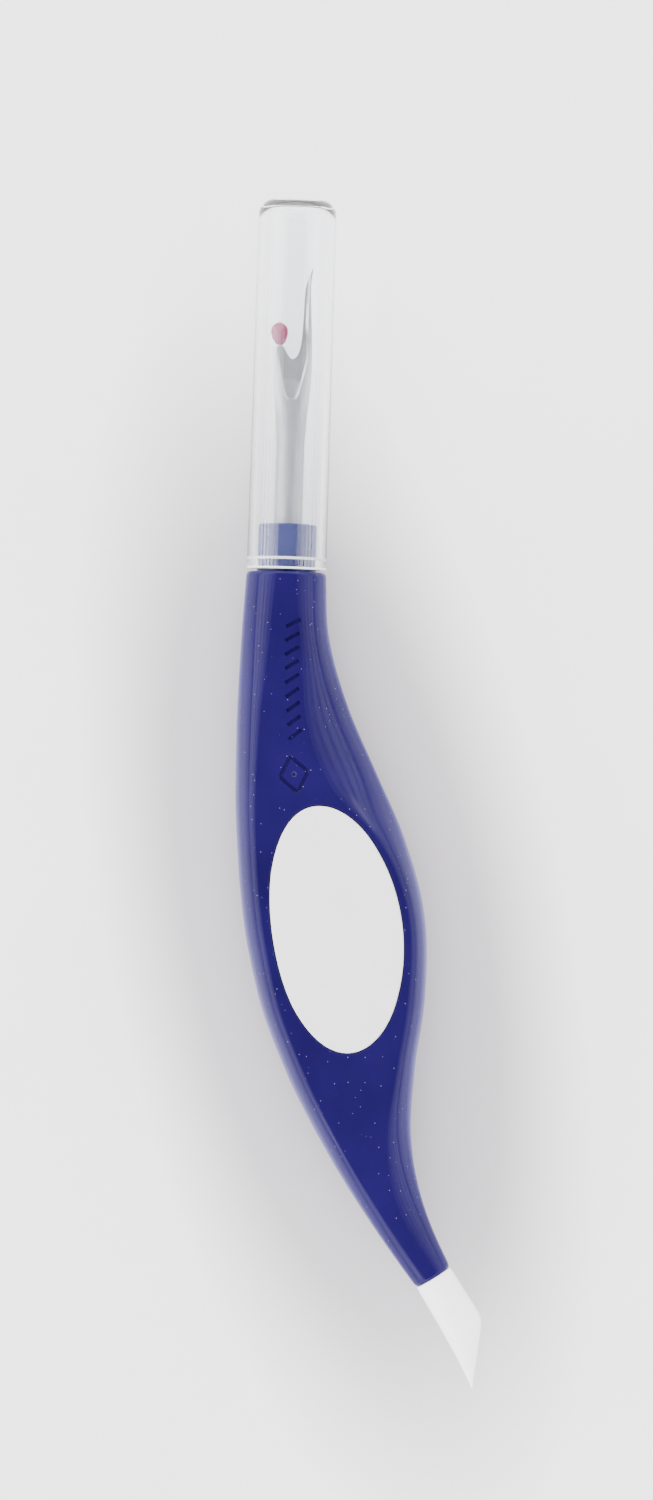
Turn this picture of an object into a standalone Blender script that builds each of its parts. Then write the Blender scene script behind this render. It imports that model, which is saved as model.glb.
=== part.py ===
"""Seam ripper with a two-shell moulded handle, a plastic stiletto tip and a clear push-on cap.

Every size below is in millimetres; the mesh makers turn them into Blender's metres.

Frame: the tool lies on its rear grip pad. +Z points up through the front pad, +Y runs along the
blade towards the cap, and the origin is the centre of the rear pad's outer face. "Along" is the
distance from the neck shoulder, measured along the handle's curved spine.
"""
import math

import bmesh
import bpy
from mathutils import Matrix, Vector

MM = 0.001

# Handle
MID_Z = 6.15                  # height of the plane where the two shells meet
PARTING_GAP = 0.1
SPINE = (                     # x, y, half width, left rounding, right rounding, right power
    (-7.23, 42.5, 4.80, 4.65, 4.65, 2.00),
    (-7.10, 34.0, 5.35, 4.20, 4.50, 2.00),
    (-5.90, 25.0, 6.85, 3.30, 5.60, 1.30),
    (-3.90, 16.0, 8.80, 2.80, 6.00, 1.25),
    (-1.80, 8.0, 10.25, 2.60, 3.00, 1.60),
    (0.00, 0.0, 10.80, 2.55, 2.20, 2.00),
    (1.30, -8.8, 9.85, 2.40, 2.40, 2.00),
    (2.70, -17.3, 7.60, 2.40, 2.60, 2.00),
    (5.00, -25.9, 5.10, 2.20, 3.40, 2.00),
    (8.40, -33.8, 3.40, 2.15, 3.70, 2.00),
    (13.05, -41.55, 2.40, 2.30, 2.30, 2.00),
)
SPINE_BEFORE = (-7.10, 51.0, 4.60, 4.65, 4.65, 2.0)    # guide point that turns the neck straight
SPINE_AFTER = (18.0, -48.36, 2.0, 2.3, 1.5, 2.0)       # guide point that turns the tail outwards
BELLY = 5                     # index of the spine point at the middle of the grip pads
SPINE_STEPS = 3               # rings between two spine points
BELLY_HALF = 6.0              # half thickness at the belly, which is flat
NECK_HALF = 4.8
TAIL_HALF = 2.4
BELLY_START = 27.0            # along the spine
BELLY_END = 60.0
ROUND_MIN = 0.3
EDGE_ROUND = 0.35
ARC_STEPS = 6

# Hollow of the shells
WALL = 2.0
CAVITY_START = 17.0
CAVITY_END = 71.0
CAVITY_STEP = 4.5
POST_AT = (24.0, 64.0)        # along the spine
POST_RADIUS = 1.7
POST_ROOT = 4.6
PIN_RADIUS = 0.8
PIN_TOP = 1.6
SOCKET_RADIUS = 0.9
SOCKET_DEPTH = 1.9

# Grip pads: ellipses that bend with the spine
PAD_LONG = 14.85
PAD_WIDE = 7.75
PAD_SHIFT = 0.2
PAD_PROUD = 0.15
PAD_EDGE = 0.2
RECESS_DEPTH = 1.1
RECESS_GAP = 0.1
PAD_SIDES = 44
PEG_OFFSET = 8.0
PEG_RADIUS = 1.2
PEG_REACH = 1.3
PEG_HOLE_GAP = 0.1

# Blade holder, cap and blade share one axis along Y
AXIS_X = -7.23
NECK_Y = 42.5
COLLAR_RADIUS = 3.55
COLLAR_TOP = 48.3
COLLAR_EDGE = 0.3
SEAT_GAP = 0.1
SHANK_RADIUS = 3.1
SHANK_END = 28.1
GROOVE_RADIUS = 2.3
GROOVE = (34.0, 35.6)
TANG_RADIUS = 1.70
TANG_END = 36.6
TANG_GAP = 0.05
TANG_CHAMFER = 0.3

CAP_MOUTH = 42.8
CAP_TOP = 87.2
CAP_MOUTH_RADIUS = 4.8
CAP_TOP_RADIUS = 4.65
CAP_LAND_RADIUS = 3.62
CAP_LAND_TOP = 44.4
CAP_BORE_RADIUS = 3.95
CAP_BORE_START = 45.4
CAP_END_WALL = 1.2
CAP_SHOULDER = 1.8
CAP_INNER_SHOULDER = 1.0
CAP_SHOULDER_STEPS = 5
CAP_INNER_STEPS = 3
CAP_RIM = 0.2

BLADE_SIDES = 24
BLADE_STATIONS = (            # y, half width, half thickness, squareness of the section
    (TANG_END, TANG_RADIUS - TANG_CHAMFER, TANG_RADIUS - TANG_CHAMFER, 2.0),
    (TANG_END + TANG_CHAMFER, TANG_RADIUS, TANG_RADIUS, 2.0),
    (58.5, TANG_RADIUS, TANG_RADIUS, 2.0),
    (61.5, 1.98, 1.56, 2.0),
    (64.5, 2.45, 1.28, 2.1),
    (68.0, 2.75, 0.95, 2.4),
    (73.0, 2.75, 0.70, 2.8),
    (80.5, 2.75, 0.42, 3.2),
)
FORK_OUTER = (                # offsets from the blade's axis, up the long prong's outer side
    (1.76, 58.2), (1.85, 60.8), (2.05, 63.2), (2.28, 66.5), (2.20, 70.7), (1.96, 74.5), (1.90, 77.2),
    (2.15, 79.15),
)
FORK_INNER = (                # down the long prong's inner side, round the crotch
    (2.15, 79.15), (1.62, 78.1), (1.22, 76.4), (1.12, 73.5), (0.96, 70.4), (0.60, 68.8),
    (0.00, 68.15), (-0.62, 68.6), (-1.15, 69.65),
)
FORK_SHORT = (                # down the short prong's outer side
    (-2.42, 69.55), (-2.44, 67.7), (-2.27, 65.3), (-2.05, 63.2), (-1.85, 60.8), (-1.76, 58.2),
)
FORK_STEPS = 4
FORK_START = 56.5             # below this height the outline is wider than the rod
FORK_MARGIN = 1.90
BALL_CENTRE = (-1.73, 71.10)
BALL_RADIUS = 0.96
BALL_HALF_LENGTH = 1.33
BALL_LEAN = math.radians(5.0)
BALL_PIN_RADIUS = 0.3
BALL_PIN_GAP = 0.06
BALL_PIN_ROOT = 2.6
BALL_PIN_TIP = 0.2
BALL_PIN_SIDES = 12
BALL_SEGMENTS = 20
BALL_RINGS = 12

# Stiletto tip, measured along the tail's axis from the handle's end
TAIL_POINT = Vector((SPINE[-1][0], SPINE[-1][1], MID_Z))
TAIL_HEADING = math.radians(33.4)      # turned from -Y towards +X
SPIGOT_RADIUS = 1.5
SPIGOT_GROOVE_RADIUS = 1.1
SPIGOT_END = -10.0
SPIGOT_GROOVE = (-6.0, -4.6)
SPIGOT_GAP = 0.1
TIP_STATIONS = (              # along, left edge, right edge, half thickness, drop of the centre
    (0.10, -2.10, 2.10, 2.05, 0.0),
    (0.35, -2.35, 2.35, 2.32, 0.0),
    (4.00, -2.45, 2.38, 2.25, 0.0),
    (6.90, -2.55, 2.38, 2.05, 0.05),
    (7.60, -2.58, 2.15, 1.96, 0.1),
    (9.50, -2.68, 0.60, 1.55, 0.3),
    (11.50, -2.85, -1.04, 0.95, 0.7),
    (13.30, -3.03, -2.52, 0.32, 1.1),
    (14.00, -3.15, -3.02, 0.12, 1.2),
)
TIP_SIDES = 20
SPIGOT_ROUND = 0.35

ROUND_SIDES = 32
ROD_SIDES = 16
SCREW_MERGE = 0.000001        # metres, like the modifier that reads it
SMOOTH_ANGLE = math.radians(35.0)
CLEAR_OF = 1.0                # how far a cutter runs past the wall that it cuts

UP = Vector((0.0, 0.0, 1.0))
ALONG_Y = Vector((0.0, 1.0, 0.0))
TAIL_AXIS = Vector((math.sin(TAIL_HEADING), -math.cos(TAIL_HEADING), 0.0))
TAIL_SIDE = Vector((math.cos(TAIL_HEADING), math.sin(TAIL_HEADING), 0.0))

FINISHES = {                  # colour, roughness, metallic, transmission
    "navy": ((0.018, 0.018, 0.19), 0.28, 0.0, 0.0),
    "collar_blue": ((0.022, 0.045, 0.30), 0.32, 0.0, 0.0),
    "white": ((0.80, 0.80, 0.81), 0.50, 0.0, 0.0),
    "steel": ((0.55, 0.55, 0.58), 0.30, 1.0, 0.0),
    "pink": ((0.62, 0.06, 0.22), 0.25, 0.0, 0.0),
    "clear": ((0.94, 0.96, 0.97), 0.08, 0.0, 1.0),
}


# ---- scene -----------------------------------------------------------------------------------

def clear_scene():
    for obj in list(bpy.data.objects):
        bpy.data.objects.remove(obj, do_unlink=True)


def make_collection(name):
    collection = bpy.data.collections.new(name)
    bpy.context.scene.collection.children.link(collection)
    return collection


def make_material(name, finish):
    color, roughness, metallic, transmission = FINISHES[finish]
    material = bpy.data.materials.new(name)
    material.use_nodes = True
    shader = material.node_tree.nodes["Principled BSDF"]
    shader.inputs["Base Color"].default_value = (*color, 1.0)
    shader.inputs["Roughness"].default_value = roughness
    shader.inputs["Metallic"].default_value = metallic
    shader.inputs["Transmission Weight"].default_value = transmission
    return material


def add_object(name, bm, place=Matrix()):
    """Turn a bmesh in millimetres into an object; place is its local frame in millimetres."""
    mesh = bpy.data.meshes.new(name)
    bmesh.ops.scale(bm, vec=Vector((MM, MM, MM)), verts=bm.verts)
    bm.to_mesh(mesh)
    bm.free()
    mesh.shade_smooth()
    mesh.set_sharp_from_angle(angle=SMOOTH_ANGLE)
    obj = bpy.data.objects.new(name, mesh)
    obj.location = place.to_translation() * MM
    obj.rotation_euler = place.to_euler()
    return obj


def as_part(obj, finish, parent):
    PARTS.objects.link(obj)
    obj.parent = parent
    obj.data.materials.clear()
    obj.data.materials.append(make_material(obj.name, finish))
    return obj


def as_cutter(obj):
    CUTTERS.objects.link(obj)
    obj.hide_render = True
    obj.display_type = "WIRE"
    return obj


def combine(target, operation, tool):
    modifier = target.modifiers.new(f"{operation.lower()}_{tool.name}", "BOOLEAN")
    modifier.operation = operation
    modifier.solver = "EXACT"
    modifier.object = tool


def axis_frame(point, axis):
    """Frame at point whose local Z lies along axis."""
    turn = axis.to_track_quat("Z", "Y").to_matrix().to_4x4()
    return Matrix.Translation(point) @ turn


# ---- mesh makers -----------------------------------------------------------------------------

def loft(rings):
    """Closed skin through rings of equal length, with a flat cap at each end."""
    bm = bmesh.new()
    loops = [[bm.verts.new(point) for point in ring] for ring in rings]
    for near, far in zip(loops, loops[1:]):
        for index in range(len(near)):
            after = (index + 1) % len(near)
            bm.faces.new((near[index], near[after], far[after], far[index]))
    bm.faces.new(loops[0])
    bm.faces.new(loops[-1])
    bmesh.ops.recalc_face_normals(bm, faces=bm.faces)
    return bm


def rod(name, start, end, radius, sides=ROD_SIDES):
    """Plain cylinder between two points."""
    bm = bmesh.new()
    axis = end - start
    bmesh.ops.create_cone(
        bm, cap_ends=True, segments=sides, radius1=radius, radius2=radius, depth=axis.length)
    return add_object(name, bm, axis_frame((start + end) / 2.0, axis))


def turned(name, profile, point, axis):
    """Solid of revolution about axis; profile holds (radius, height), outer side downwards."""
    bm = bmesh.new()
    chain = [bm.verts.new((radius, 0.0, height)) for radius, height in profile]
    for near, far in zip(chain, chain[1:]):
        bm.edges.new((near, far))
    obj = add_object(name, bm, axis_frame(point, axis))
    screw = obj.modifiers.new("turn", "SCREW")
    screw.axis = "Z"
    screw.steps = ROUND_SIDES
    screw.render_steps = ROUND_SIDES
    screw.use_merge_vertices = True
    screw.merge_threshold = SCREW_MERGE
    screw.use_smooth_shade = True
    return obj


def superellipse(wide, long, power, sides):
    """Closed outline of (across, along) points."""
    points = []
    for index in range(sides):
        angle = 2.0 * math.pi * index / sides
        across = math.copysign(abs(math.cos(angle)) ** (2.0 / power), math.cos(angle))
        along = math.copysign(abs(math.sin(angle)) ** (2.0 / power), math.sin(angle))
        points.append((wide * across, long * along))
    return points


def arc(centre, radius, start, end, steps):
    """Points of an arc from start to end degrees about centre."""
    points = []
    for index in range(steps + 1):
        angle = math.radians(start + (end - start) * index / steps)
        points.append((centre[0] + radius * math.cos(angle), centre[1] + radius * math.sin(angle)))
    return points


def catmull(points, steps, before=None, after=None):
    """Smooth curve through points, with steps pieces between each two of them."""
    guide = [Vector(point) for point in (before or points[0], *points, after or points[-1])]
    curve = []
    for p0, p1, p2, p3 in zip(guide, guide[1:], guide[2:], guide[3:]):
        for index in range(steps):
            t = index / steps
            curve.append(
                0.5 * ((2.0 * p1) + (p2 - p0) * t + (2.0 * p0 - 5.0 * p1 + 4.0 * p2 - p3) * t * t
                       + (3.0 * p1 - p0 - 3.0 * p2 + p3) * t ** 3))
    curve.append(guide[-2])
    return curve


def smoothstep(value):
    value = min(max(value, 0.0), 1.0)
    return value * value * (3.0 - 2.0 * value)


# ---- handle ----------------------------------------------------------------------------------

class Station:
    """Cross-section of the handle at one distance along its spine: a flat top between two roundings."""

    def __init__(self, along, heading, sizes, total):
        x, y, self.half_width, self.left_round, self.right_round, self.right_power = sizes
        self.along = along
        self.centre = Vector((x, y, MID_Z))
        self.side = Vector((math.cos(heading), math.sin(heading), 0.0))
        self.half_height = half_height_at(along, total)

    def place(self, across, height):
        return self.centre + self.side * across + UP * height


def half_height_at(along, total):
    if along < BELLY_START:
        return NECK_HALF + (BELLY_HALF - NECK_HALF) * smoothstep(along / BELLY_START)
    return BELLY_HALF + (TAIL_HALF - BELLY_HALF) * smoothstep((along - BELLY_END) / (total - BELLY_END))


def make_stations():
    curve = catmull(SPINE, SPINE_STEPS, SPINE_BEFORE, SPINE_AFTER)
    steps = [math.dist(near[:2], far[:2]) for near, far in zip(curve, curve[1:])]
    total = sum(steps)
    stations = []
    for index, sizes in enumerate(curve):
        if index == 0:
            heading = 0.0
        elif index == len(curve) - 1:
            heading = TAIL_HEADING
        else:
            before, after = curve[index - 1], curve[index + 1]
            heading = math.atan2(after[0] - before[0], before[1] - after[1])
        stations.append(Station(sum(steps[:index]), heading, sizes, total))
    return stations


def spine_point(stations, along, across, height):
    """Point at a distance along the spine, across it, and above the middle plane."""
    for near, far in zip(stations, stations[1:]):
        if along <= far.along:
            share = (along - near.along) / (far.along - near.along)
            return near.place(across, height).lerp(far.place(across, height), share)
    return stations[-1].place(across, height)


def side_curve(edge, rounding, power, half_height, start):
    """Points from height start at the widest place up to the edge of the flat top."""
    widest = math.acos(start / half_height)
    curve = []
    for index in range(ARC_STEPS + 1):
        angle = widest * (1.0 - index / ARC_STEPS)
        across = edge + rounding * math.sin(angle) ** (2.0 / power)
        curve.append((across, half_height * math.cos(angle)))
    return curve


def half_section(station, inset, start):
    """Upper half of a section from its right side over the top to its left side."""
    half_height = station.half_height - inset
    right_edge = station.half_width - station.right_round
    left_edge = station.half_width - station.left_round
    right_round = max(station.right_round - inset, ROUND_MIN)
    left_round = max(station.left_round - inset, ROUND_MIN)
    right = side_curve(right_edge, right_round, station.right_power, half_height, start)
    left = side_curve(left_edge, left_round, 2.0, half_height, start)
    return right + [(-across, height) for across, height in reversed(left)]


def shell_body(name, stations, face):
    """Solid outer half of the handle; face is +1 for the front half and -1 for the rear one."""
    first, last = stations[0], stations[-1]
    inward_first = stations[1].centre - first.centre
    inward_last = stations[-2].centre - last.centre
    layout = [(first, EDGE_ROUND, Vector()), (first, 0.0, inward_first.normalized() * EDGE_ROUND)]
    layout += [(station, 0.0, Vector()) for station in stations[1:-1]]
    layout += [(last, 0.0, inward_last.normalized() * EDGE_ROUND), (last, EDGE_ROUND, Vector())]
    rings = []
    for station, inset, shift in layout:
        section = half_section(station, inset, PARTING_GAP / 2.0)
        rings.append([station.place(across, face * height) + shift for across, height in section])
    return add_object(name, loft(rings))


def cavity_cutter(stations):
    rings = []
    last_along = -CAVITY_STEP
    for station in stations:
        inside = CAVITY_START <= station.along <= CAVITY_END
        if inside and station.along - last_along >= CAVITY_STEP:
            last_along = station.along
            upper = half_section(station, WALL, 0.0)
            lower = [(across, -height) for across, height in reversed(upper[1:-1])]
            rings.append([station.place(across, height) for across, height in upper + lower])
    return as_cutter(add_object("cavity", loft(rings)))


def neck_cutter():
    """Seat of the blade holder's shank, with a rib left standing for the shank's groove."""
    wide = SHANK_RADIUS + SEAT_GAP
    narrow = GROOVE_RADIUS + SEAT_GAP
    top = NECK_Y + CLEAR_OF
    profile = [
        (0.0, top),
        (wide, top),
        (wide, GROOVE[1] - SEAT_GAP),
        (narrow, GROOVE[1] - SEAT_GAP),
        (narrow, GROOVE[0] + SEAT_GAP),
        (wide, GROOVE[0] + SEAT_GAP),
        (wide, SHANK_END - SEAT_GAP),
        (0.0, SHANK_END - SEAT_GAP),
    ]
    return as_cutter(turned("neck_seat", profile, Vector((AXIS_X, 0.0, MID_Z)), ALONG_Y))


def tail_cutter():
    """Seat of the stiletto's spigot, with a rib left standing for the spigot's groove."""
    wide = SPIGOT_RADIUS + SPIGOT_GAP
    narrow = SPIGOT_GROOVE_RADIUS + SPIGOT_GAP
    profile = [
        (0.0, CLEAR_OF),
        (wide, CLEAR_OF),
        (wide, SPIGOT_GROOVE[1] - SPIGOT_GAP),
        (narrow, SPIGOT_GROOVE[1] - SPIGOT_GAP),
        (narrow, SPIGOT_GROOVE[0] + SPIGOT_GAP),
        (wide, SPIGOT_GROOVE[0] + SPIGOT_GAP),
        (wide, SPIGOT_END - SPIGOT_GAP),
        (0.0, SPIGOT_END - SPIGOT_GAP),
    ]
    return as_cutter(turned("tail_seat", profile, TAIL_POINT, TAIL_AXIS))


def pad_outline(stations, grow, height):
    """Ring of the oval pad's outline at a height above the middle plane."""
    middle = stations[BELLY * SPINE_STEPS].along
    outline = superellipse(PAD_WIDE + grow, PAD_LONG + grow, 2.0, PAD_SIDES)
    return [spine_point(stations, middle + along, PAD_SHIFT + across, height) for across, along in outline]


def recess_cutter(name, stations, face):
    floor = face * (BELLY_HALF - RECESS_DEPTH)
    outside = face * (BELLY_HALF + CLEAR_OF)
    rings = [pad_outline(stations, RECESS_GAP, height) for height in (floor, outside)]
    return as_cutter(add_object(name, loft(rings)))


def peg_points(stations, height):
    middle = stations[BELLY * SPINE_STEPS].along
    for end in (-1.0, 1.0):
        yield spine_point(stations, middle + end * PEG_OFFSET, PAD_SHIFT, height)


def cut_peg_holes(shell, stations, face):
    for index, point in enumerate(peg_points(stations, face * (BELLY_HALF - RECESS_DEPTH))):
        reach = UP * (face * (WALL + CLEAR_OF))
        name = f"{shell.name}_peg_hole_{index}"
        hole = rod(name, point - reach, point + reach, PEG_RADIUS + PEG_HOLE_GAP)
        combine(shell, "DIFFERENCE", as_cutter(hole))


def add_posts(shell, stations, face):
    """Posts that carry the alignment pins on the rear shell and their sockets on the front one."""
    for index, along in enumerate(POST_AT):
        centre = spine_point(stations, along, 0.0, 0.0)
        foot = centre + UP * (face * PARTING_GAP / 2.0)
        root = centre + UP * (face * POST_ROOT)
        post = as_cutter(rod(f"{shell.name}_post_{index}", foot, root, POST_RADIUS))
        combine(shell, "UNION", post)
        if face < 0:
            pin = rod(f"pin_{index}", centre - UP * CLEAR_OF, centre + UP * PIN_TOP, PIN_RADIUS)
            combine(shell, "UNION", as_cutter(pin))
        else:
            top = centre + UP * SOCKET_DEPTH
            socket = rod(f"socket_{index}", centre - UP * CLEAR_OF, top, SOCKET_RADIUS)
            combine(shell, "DIFFERENCE", as_cutter(socket))


def make_shell(name, stations, face, shared_cutters, parent):
    shell = as_part(shell_body(name, stations, face), "navy", parent)
    for cutter in shared_cutters:
        combine(shell, "DIFFERENCE", cutter)
    combine(shell, "DIFFERENCE", recess_cutter(f"{name}_recess", stations, face))
    cut_peg_holes(shell, stations, face)
    add_posts(shell, stations, face)


def make_pad(name, stations, face, parent):
    floor = face * (BELLY_HALF - RECESS_DEPTH + RECESS_GAP)
    top = face * (BELLY_HALF + PAD_PROUD)
    layout = (
        (0.0, floor),
        (0.0, top - face * PAD_EDGE),
        (-PAD_EDGE / 2.0, top - face * PAD_EDGE / 3.0),
        (-PAD_EDGE * 1.5, top),
    )
    rings = [pad_outline(stations, grow, height) for grow, height in layout]
    pad = as_part(add_object(name, loft(rings)), "white", parent)
    for index, point in enumerate(peg_points(stations, floor)):
        start = point + UP * (face * PAD_EDGE)
        peg = rod(f"{name}_peg_{index}", start, point - UP * (face * PEG_REACH), PEG_RADIUS)
        combine(pad, "UNION", as_cutter(peg))


# ---- pieces on the blade's axis --------------------------------------------------------------

def make_holder(parent):
    bore = TANG_RADIUS + TANG_GAP
    profile = [
        (0.0, TANG_END - SEAT_GAP),
        (bore, TANG_END - SEAT_GAP),
        (bore, COLLAR_TOP),
        (COLLAR_RADIUS - COLLAR_EDGE, COLLAR_TOP),
        (COLLAR_RADIUS - COLLAR_EDGE / 3.0, COLLAR_TOP - COLLAR_EDGE / 3.0),
        (COLLAR_RADIUS, COLLAR_TOP - COLLAR_EDGE),
        (COLLAR_RADIUS, NECK_Y + SEAT_GAP),
        (SHANK_RADIUS, NECK_Y + SEAT_GAP),
        (SHANK_RADIUS, GROOVE[1]),
        (GROOVE_RADIUS, GROOVE[1]),
        (GROOVE_RADIUS, GROOVE[0]),
        (SHANK_RADIUS, GROOVE[0]),
        (SHANK_RADIUS, SHANK_END + COLLAR_EDGE),
        (SHANK_RADIUS - COLLAR_EDGE, SHANK_END),
        (0.0, SHANK_END),
    ]
    holder = turned("blade_holder", profile, Vector((AXIS_X, 0.0, MID_Z)), ALONG_Y)
    as_part(holder, "collar_blue", parent)


def make_cap(parent):
    """Cap as one turned wall; its local heights start at the mouth, where the empty on its axis is."""
    length = CAP_TOP - CAP_MOUTH
    inner_top = length - CAP_END_WALL
    shoulder = (CAP_TOP_RADIUS - CAP_SHOULDER, length - CAP_SHOULDER)
    inner_shoulder = (CAP_BORE_RADIUS - CAP_INNER_SHOULDER, inner_top - CAP_INNER_SHOULDER)
    profile = [(0.0, length)]
    profile += arc(shoulder, CAP_SHOULDER, 90.0, 0.0, CAP_SHOULDER_STEPS)
    profile += [
        (CAP_MOUTH_RADIUS, CAP_RIM),
        (CAP_MOUTH_RADIUS - CAP_RIM, 0.0),
        (CAP_LAND_RADIUS + CAP_RIM, 0.0),
        (CAP_LAND_RADIUS, CAP_RIM),
        (CAP_LAND_RADIUS, CAP_LAND_TOP - CAP_MOUTH),
        (CAP_BORE_RADIUS, CAP_BORE_START - CAP_MOUTH),
    ]
    profile += arc(inner_shoulder, CAP_INNER_SHOULDER, 0.0, 90.0, CAP_INNER_STEPS)
    profile += [(0.0, inner_top)]
    cap = turned("protective_cap", profile, Vector(), UP)
    as_part(cap, "clear", parent)


def fork_outline():
    """Flat outline of the blade, wider than its round shank and true along the fork."""
    outline = [Vector((FORK_MARGIN, TANG_END - CLEAR_OF)), Vector((FORK_MARGIN, FORK_START))]
    outline += catmull(FORK_OUTER, FORK_STEPS)[:-1]
    outline += catmull(FORK_INNER, FORK_STEPS)
    outline += catmull(FORK_SHORT, FORK_STEPS)
    outline += [Vector((-FORK_MARGIN, FORK_START)), Vector((-FORK_MARGIN, TANG_END - CLEAR_OF))]
    return outline


def make_blade(parent):
    """Rod that is pressed flat into a fork: a solid of changing section, trimmed to the outline."""
    rings = []
    for y, half_width, half_height, power in BLADE_STATIONS:
        section = superellipse(half_width, half_height, power, BLADE_SIDES)
        rings.append([Vector((AXIS_X + across, y, MID_Z + height)) for across, height in section])
    blade = as_part(add_object("ripper_blade", loft(rings)), "steel", parent)
    sheet = []
    for height in (-CLEAR_OF - TANG_RADIUS, CLEAR_OF + TANG_RADIUS):
        sheet.append([Vector((AXIS_X + across, y, MID_Z + height)) for across, y in fork_outline()])
    combine(blade, "INTERSECT", as_cutter(add_object("fork_outline", loft(sheet))))
    start = ball_place() - ball_axis() * BALL_PIN_ROOT
    end = ball_place() + ball_axis() * BALL_PIN_TIP
    combine(blade, "UNION", as_cutter(rod("ball_pin", start, end, BALL_PIN_RADIUS, BALL_PIN_SIDES)))


def ball_place():
    return Vector((AXIS_X + BALL_CENTRE[0], BALL_CENTRE[1], MID_Z))


def ball_axis():
    return Vector((-math.sin(BALL_LEAN), math.cos(BALL_LEAN), 0.0))


def make_ball(parent):
    bm = bmesh.new()
    bmesh.ops.create_uvsphere(bm, u_segments=BALL_SEGMENTS, v_segments=BALL_RINGS, radius=BALL_RADIUS)
    bmesh.ops.scale(bm, vec=Vector((1.0, 1.0, BALL_HALF_LENGTH / BALL_RADIUS)), verts=bm.verts)
    ball = add_object("safety_ball", bm, axis_frame(ball_place(), ball_axis()))
    as_part(ball, "pink", parent)
    start = ball_place() - ball_axis() * (BALL_HALF_LENGTH + CLEAR_OF)
    end = ball_place() + ball_axis() * (BALL_PIN_TIP + BALL_PIN_GAP)
    hole = rod("ball_hole", start, end, BALL_PIN_RADIUS + BALL_PIN_GAP, BALL_PIN_SIDES)
    combine(ball, "DIFFERENCE", as_cutter(hole))


# ---- stiletto tip ----------------------------------------------------------------------------

def tip_ring(along, left, right, half_height, drop):
    centre = TAIL_POINT + TAIL_AXIS * along + TAIL_SIDE * ((left + right) / 2.0) - UP * drop
    section = superellipse((right - left) / 2.0, half_height, 2.0, TIP_SIDES)
    return [centre + TAIL_SIDE * across + UP * height for across, height in section]


def make_tip(parent):
    spigot = [
        (SPIGOT_END, SPIGOT_RADIUS - SPIGOT_ROUND),
        (SPIGOT_END + SPIGOT_ROUND, SPIGOT_RADIUS),
        (SPIGOT_GROOVE[0], SPIGOT_RADIUS),
        (SPIGOT_GROOVE[0], SPIGOT_GROOVE_RADIUS),
        (SPIGOT_GROOVE[1], SPIGOT_GROOVE_RADIUS),
        (SPIGOT_GROOVE[1], SPIGOT_RADIUS),
        (TIP_STATIONS[0][0], SPIGOT_RADIUS),
    ]
    rings = [tip_ring(along, -radius, radius, radius, 0.0) for along, radius in spigot]
    rings += [tip_ring(*station) for station in TIP_STATIONS]
    as_part(add_object("stiletto_tip", loft(rings)), "white", parent)


# ---- assembly --------------------------------------------------------------------------------

def make_empty(name, point):
    empty = bpy.data.objects.new(name, None)
    empty.location = point * MM
    PARTS.objects.link(empty)
    return empty


def make_cap_empty():
    """Empty on the cap's axis at its mouth, turned so that its Z runs along the slide."""
    empty = make_empty("cap_axis", Vector((AXIS_X, CAP_MOUTH, MID_Z)))
    empty.rotation_euler = (-math.pi / 2.0, 0.0, 0.0)
    return empty


clear_scene()
PARTS = make_collection("seam_ripper")
CUTTERS = make_collection("cutters")

handle = make_empty("handle_frame", Vector())
spine_stations = make_stations()
seats = [cavity_cutter(spine_stations), neck_cutter(), tail_cutter()]
make_shell("front_shell", spine_stations, 1.0, seats, handle)
make_shell("rear_shell", spine_stations, -1.0, seats, handle)
make_pad("front_grip_pad", spine_stations, 1.0, handle)
make_pad("rear_grip_pad", spine_stations, -1.0, handle)
make_holder(handle)
make_blade(handle)
make_ball(handle)
make_tip(handle)
make_cap(make_cap_empty())
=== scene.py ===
"""Looks of the seam ripper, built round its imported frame.

Sizes below are in millimetres, but for the studio's, and the mesh makers turn them into metres. The
frame is the row's own: the tool lies on its rear grip pad, +Z points up through the front pad and
+Y runs along the blade. Each fine piece repeats the shape of the CAD node that it stands for, with
the small radii, grinding, marks and moulded texture that the node leaves out.
"""
import math

import bmesh
import bpy
from mathutils import Matrix, Vector


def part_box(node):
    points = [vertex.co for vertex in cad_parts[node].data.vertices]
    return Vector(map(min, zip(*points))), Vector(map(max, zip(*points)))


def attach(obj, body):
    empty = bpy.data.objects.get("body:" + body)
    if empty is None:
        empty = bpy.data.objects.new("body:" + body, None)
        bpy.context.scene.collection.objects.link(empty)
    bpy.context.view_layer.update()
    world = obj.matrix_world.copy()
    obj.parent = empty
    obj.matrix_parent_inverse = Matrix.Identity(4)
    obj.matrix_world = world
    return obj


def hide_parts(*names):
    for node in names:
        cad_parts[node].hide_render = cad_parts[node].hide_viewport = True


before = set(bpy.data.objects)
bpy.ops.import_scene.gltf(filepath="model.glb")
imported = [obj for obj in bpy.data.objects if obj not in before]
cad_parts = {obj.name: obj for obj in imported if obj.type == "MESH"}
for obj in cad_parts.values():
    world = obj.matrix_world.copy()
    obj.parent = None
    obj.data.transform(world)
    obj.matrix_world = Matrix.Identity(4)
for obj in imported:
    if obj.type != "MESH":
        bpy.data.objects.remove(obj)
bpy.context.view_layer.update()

MM = 0.001
UP = Vector((0.0, 0.0, 1.0))
ALONG_Y = Vector((0.0, 1.0, 0.0))


class Extent:
    """A CAD node's box in millimetres."""

    def __init__(self, node):
        low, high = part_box(node)
        self.low = Vector(low) / MM
        self.high = Vector(high) / MM
        self.centre = (self.low + self.high) / 2.0
        self.size = self.high - self.low


CAP = Extent("protective_cap")
HOLDER = Extent("blade_holder")
BLADE = Extent("ripper_blade")
BALL = Extent("safety_ball")
FRONT_PAD = Extent("front_grip_pad")
FRONT_SHELL = Extent("front_shell")

AXIS_X = CAP.centre.x
MID_Z = CAP.centre.z

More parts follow.
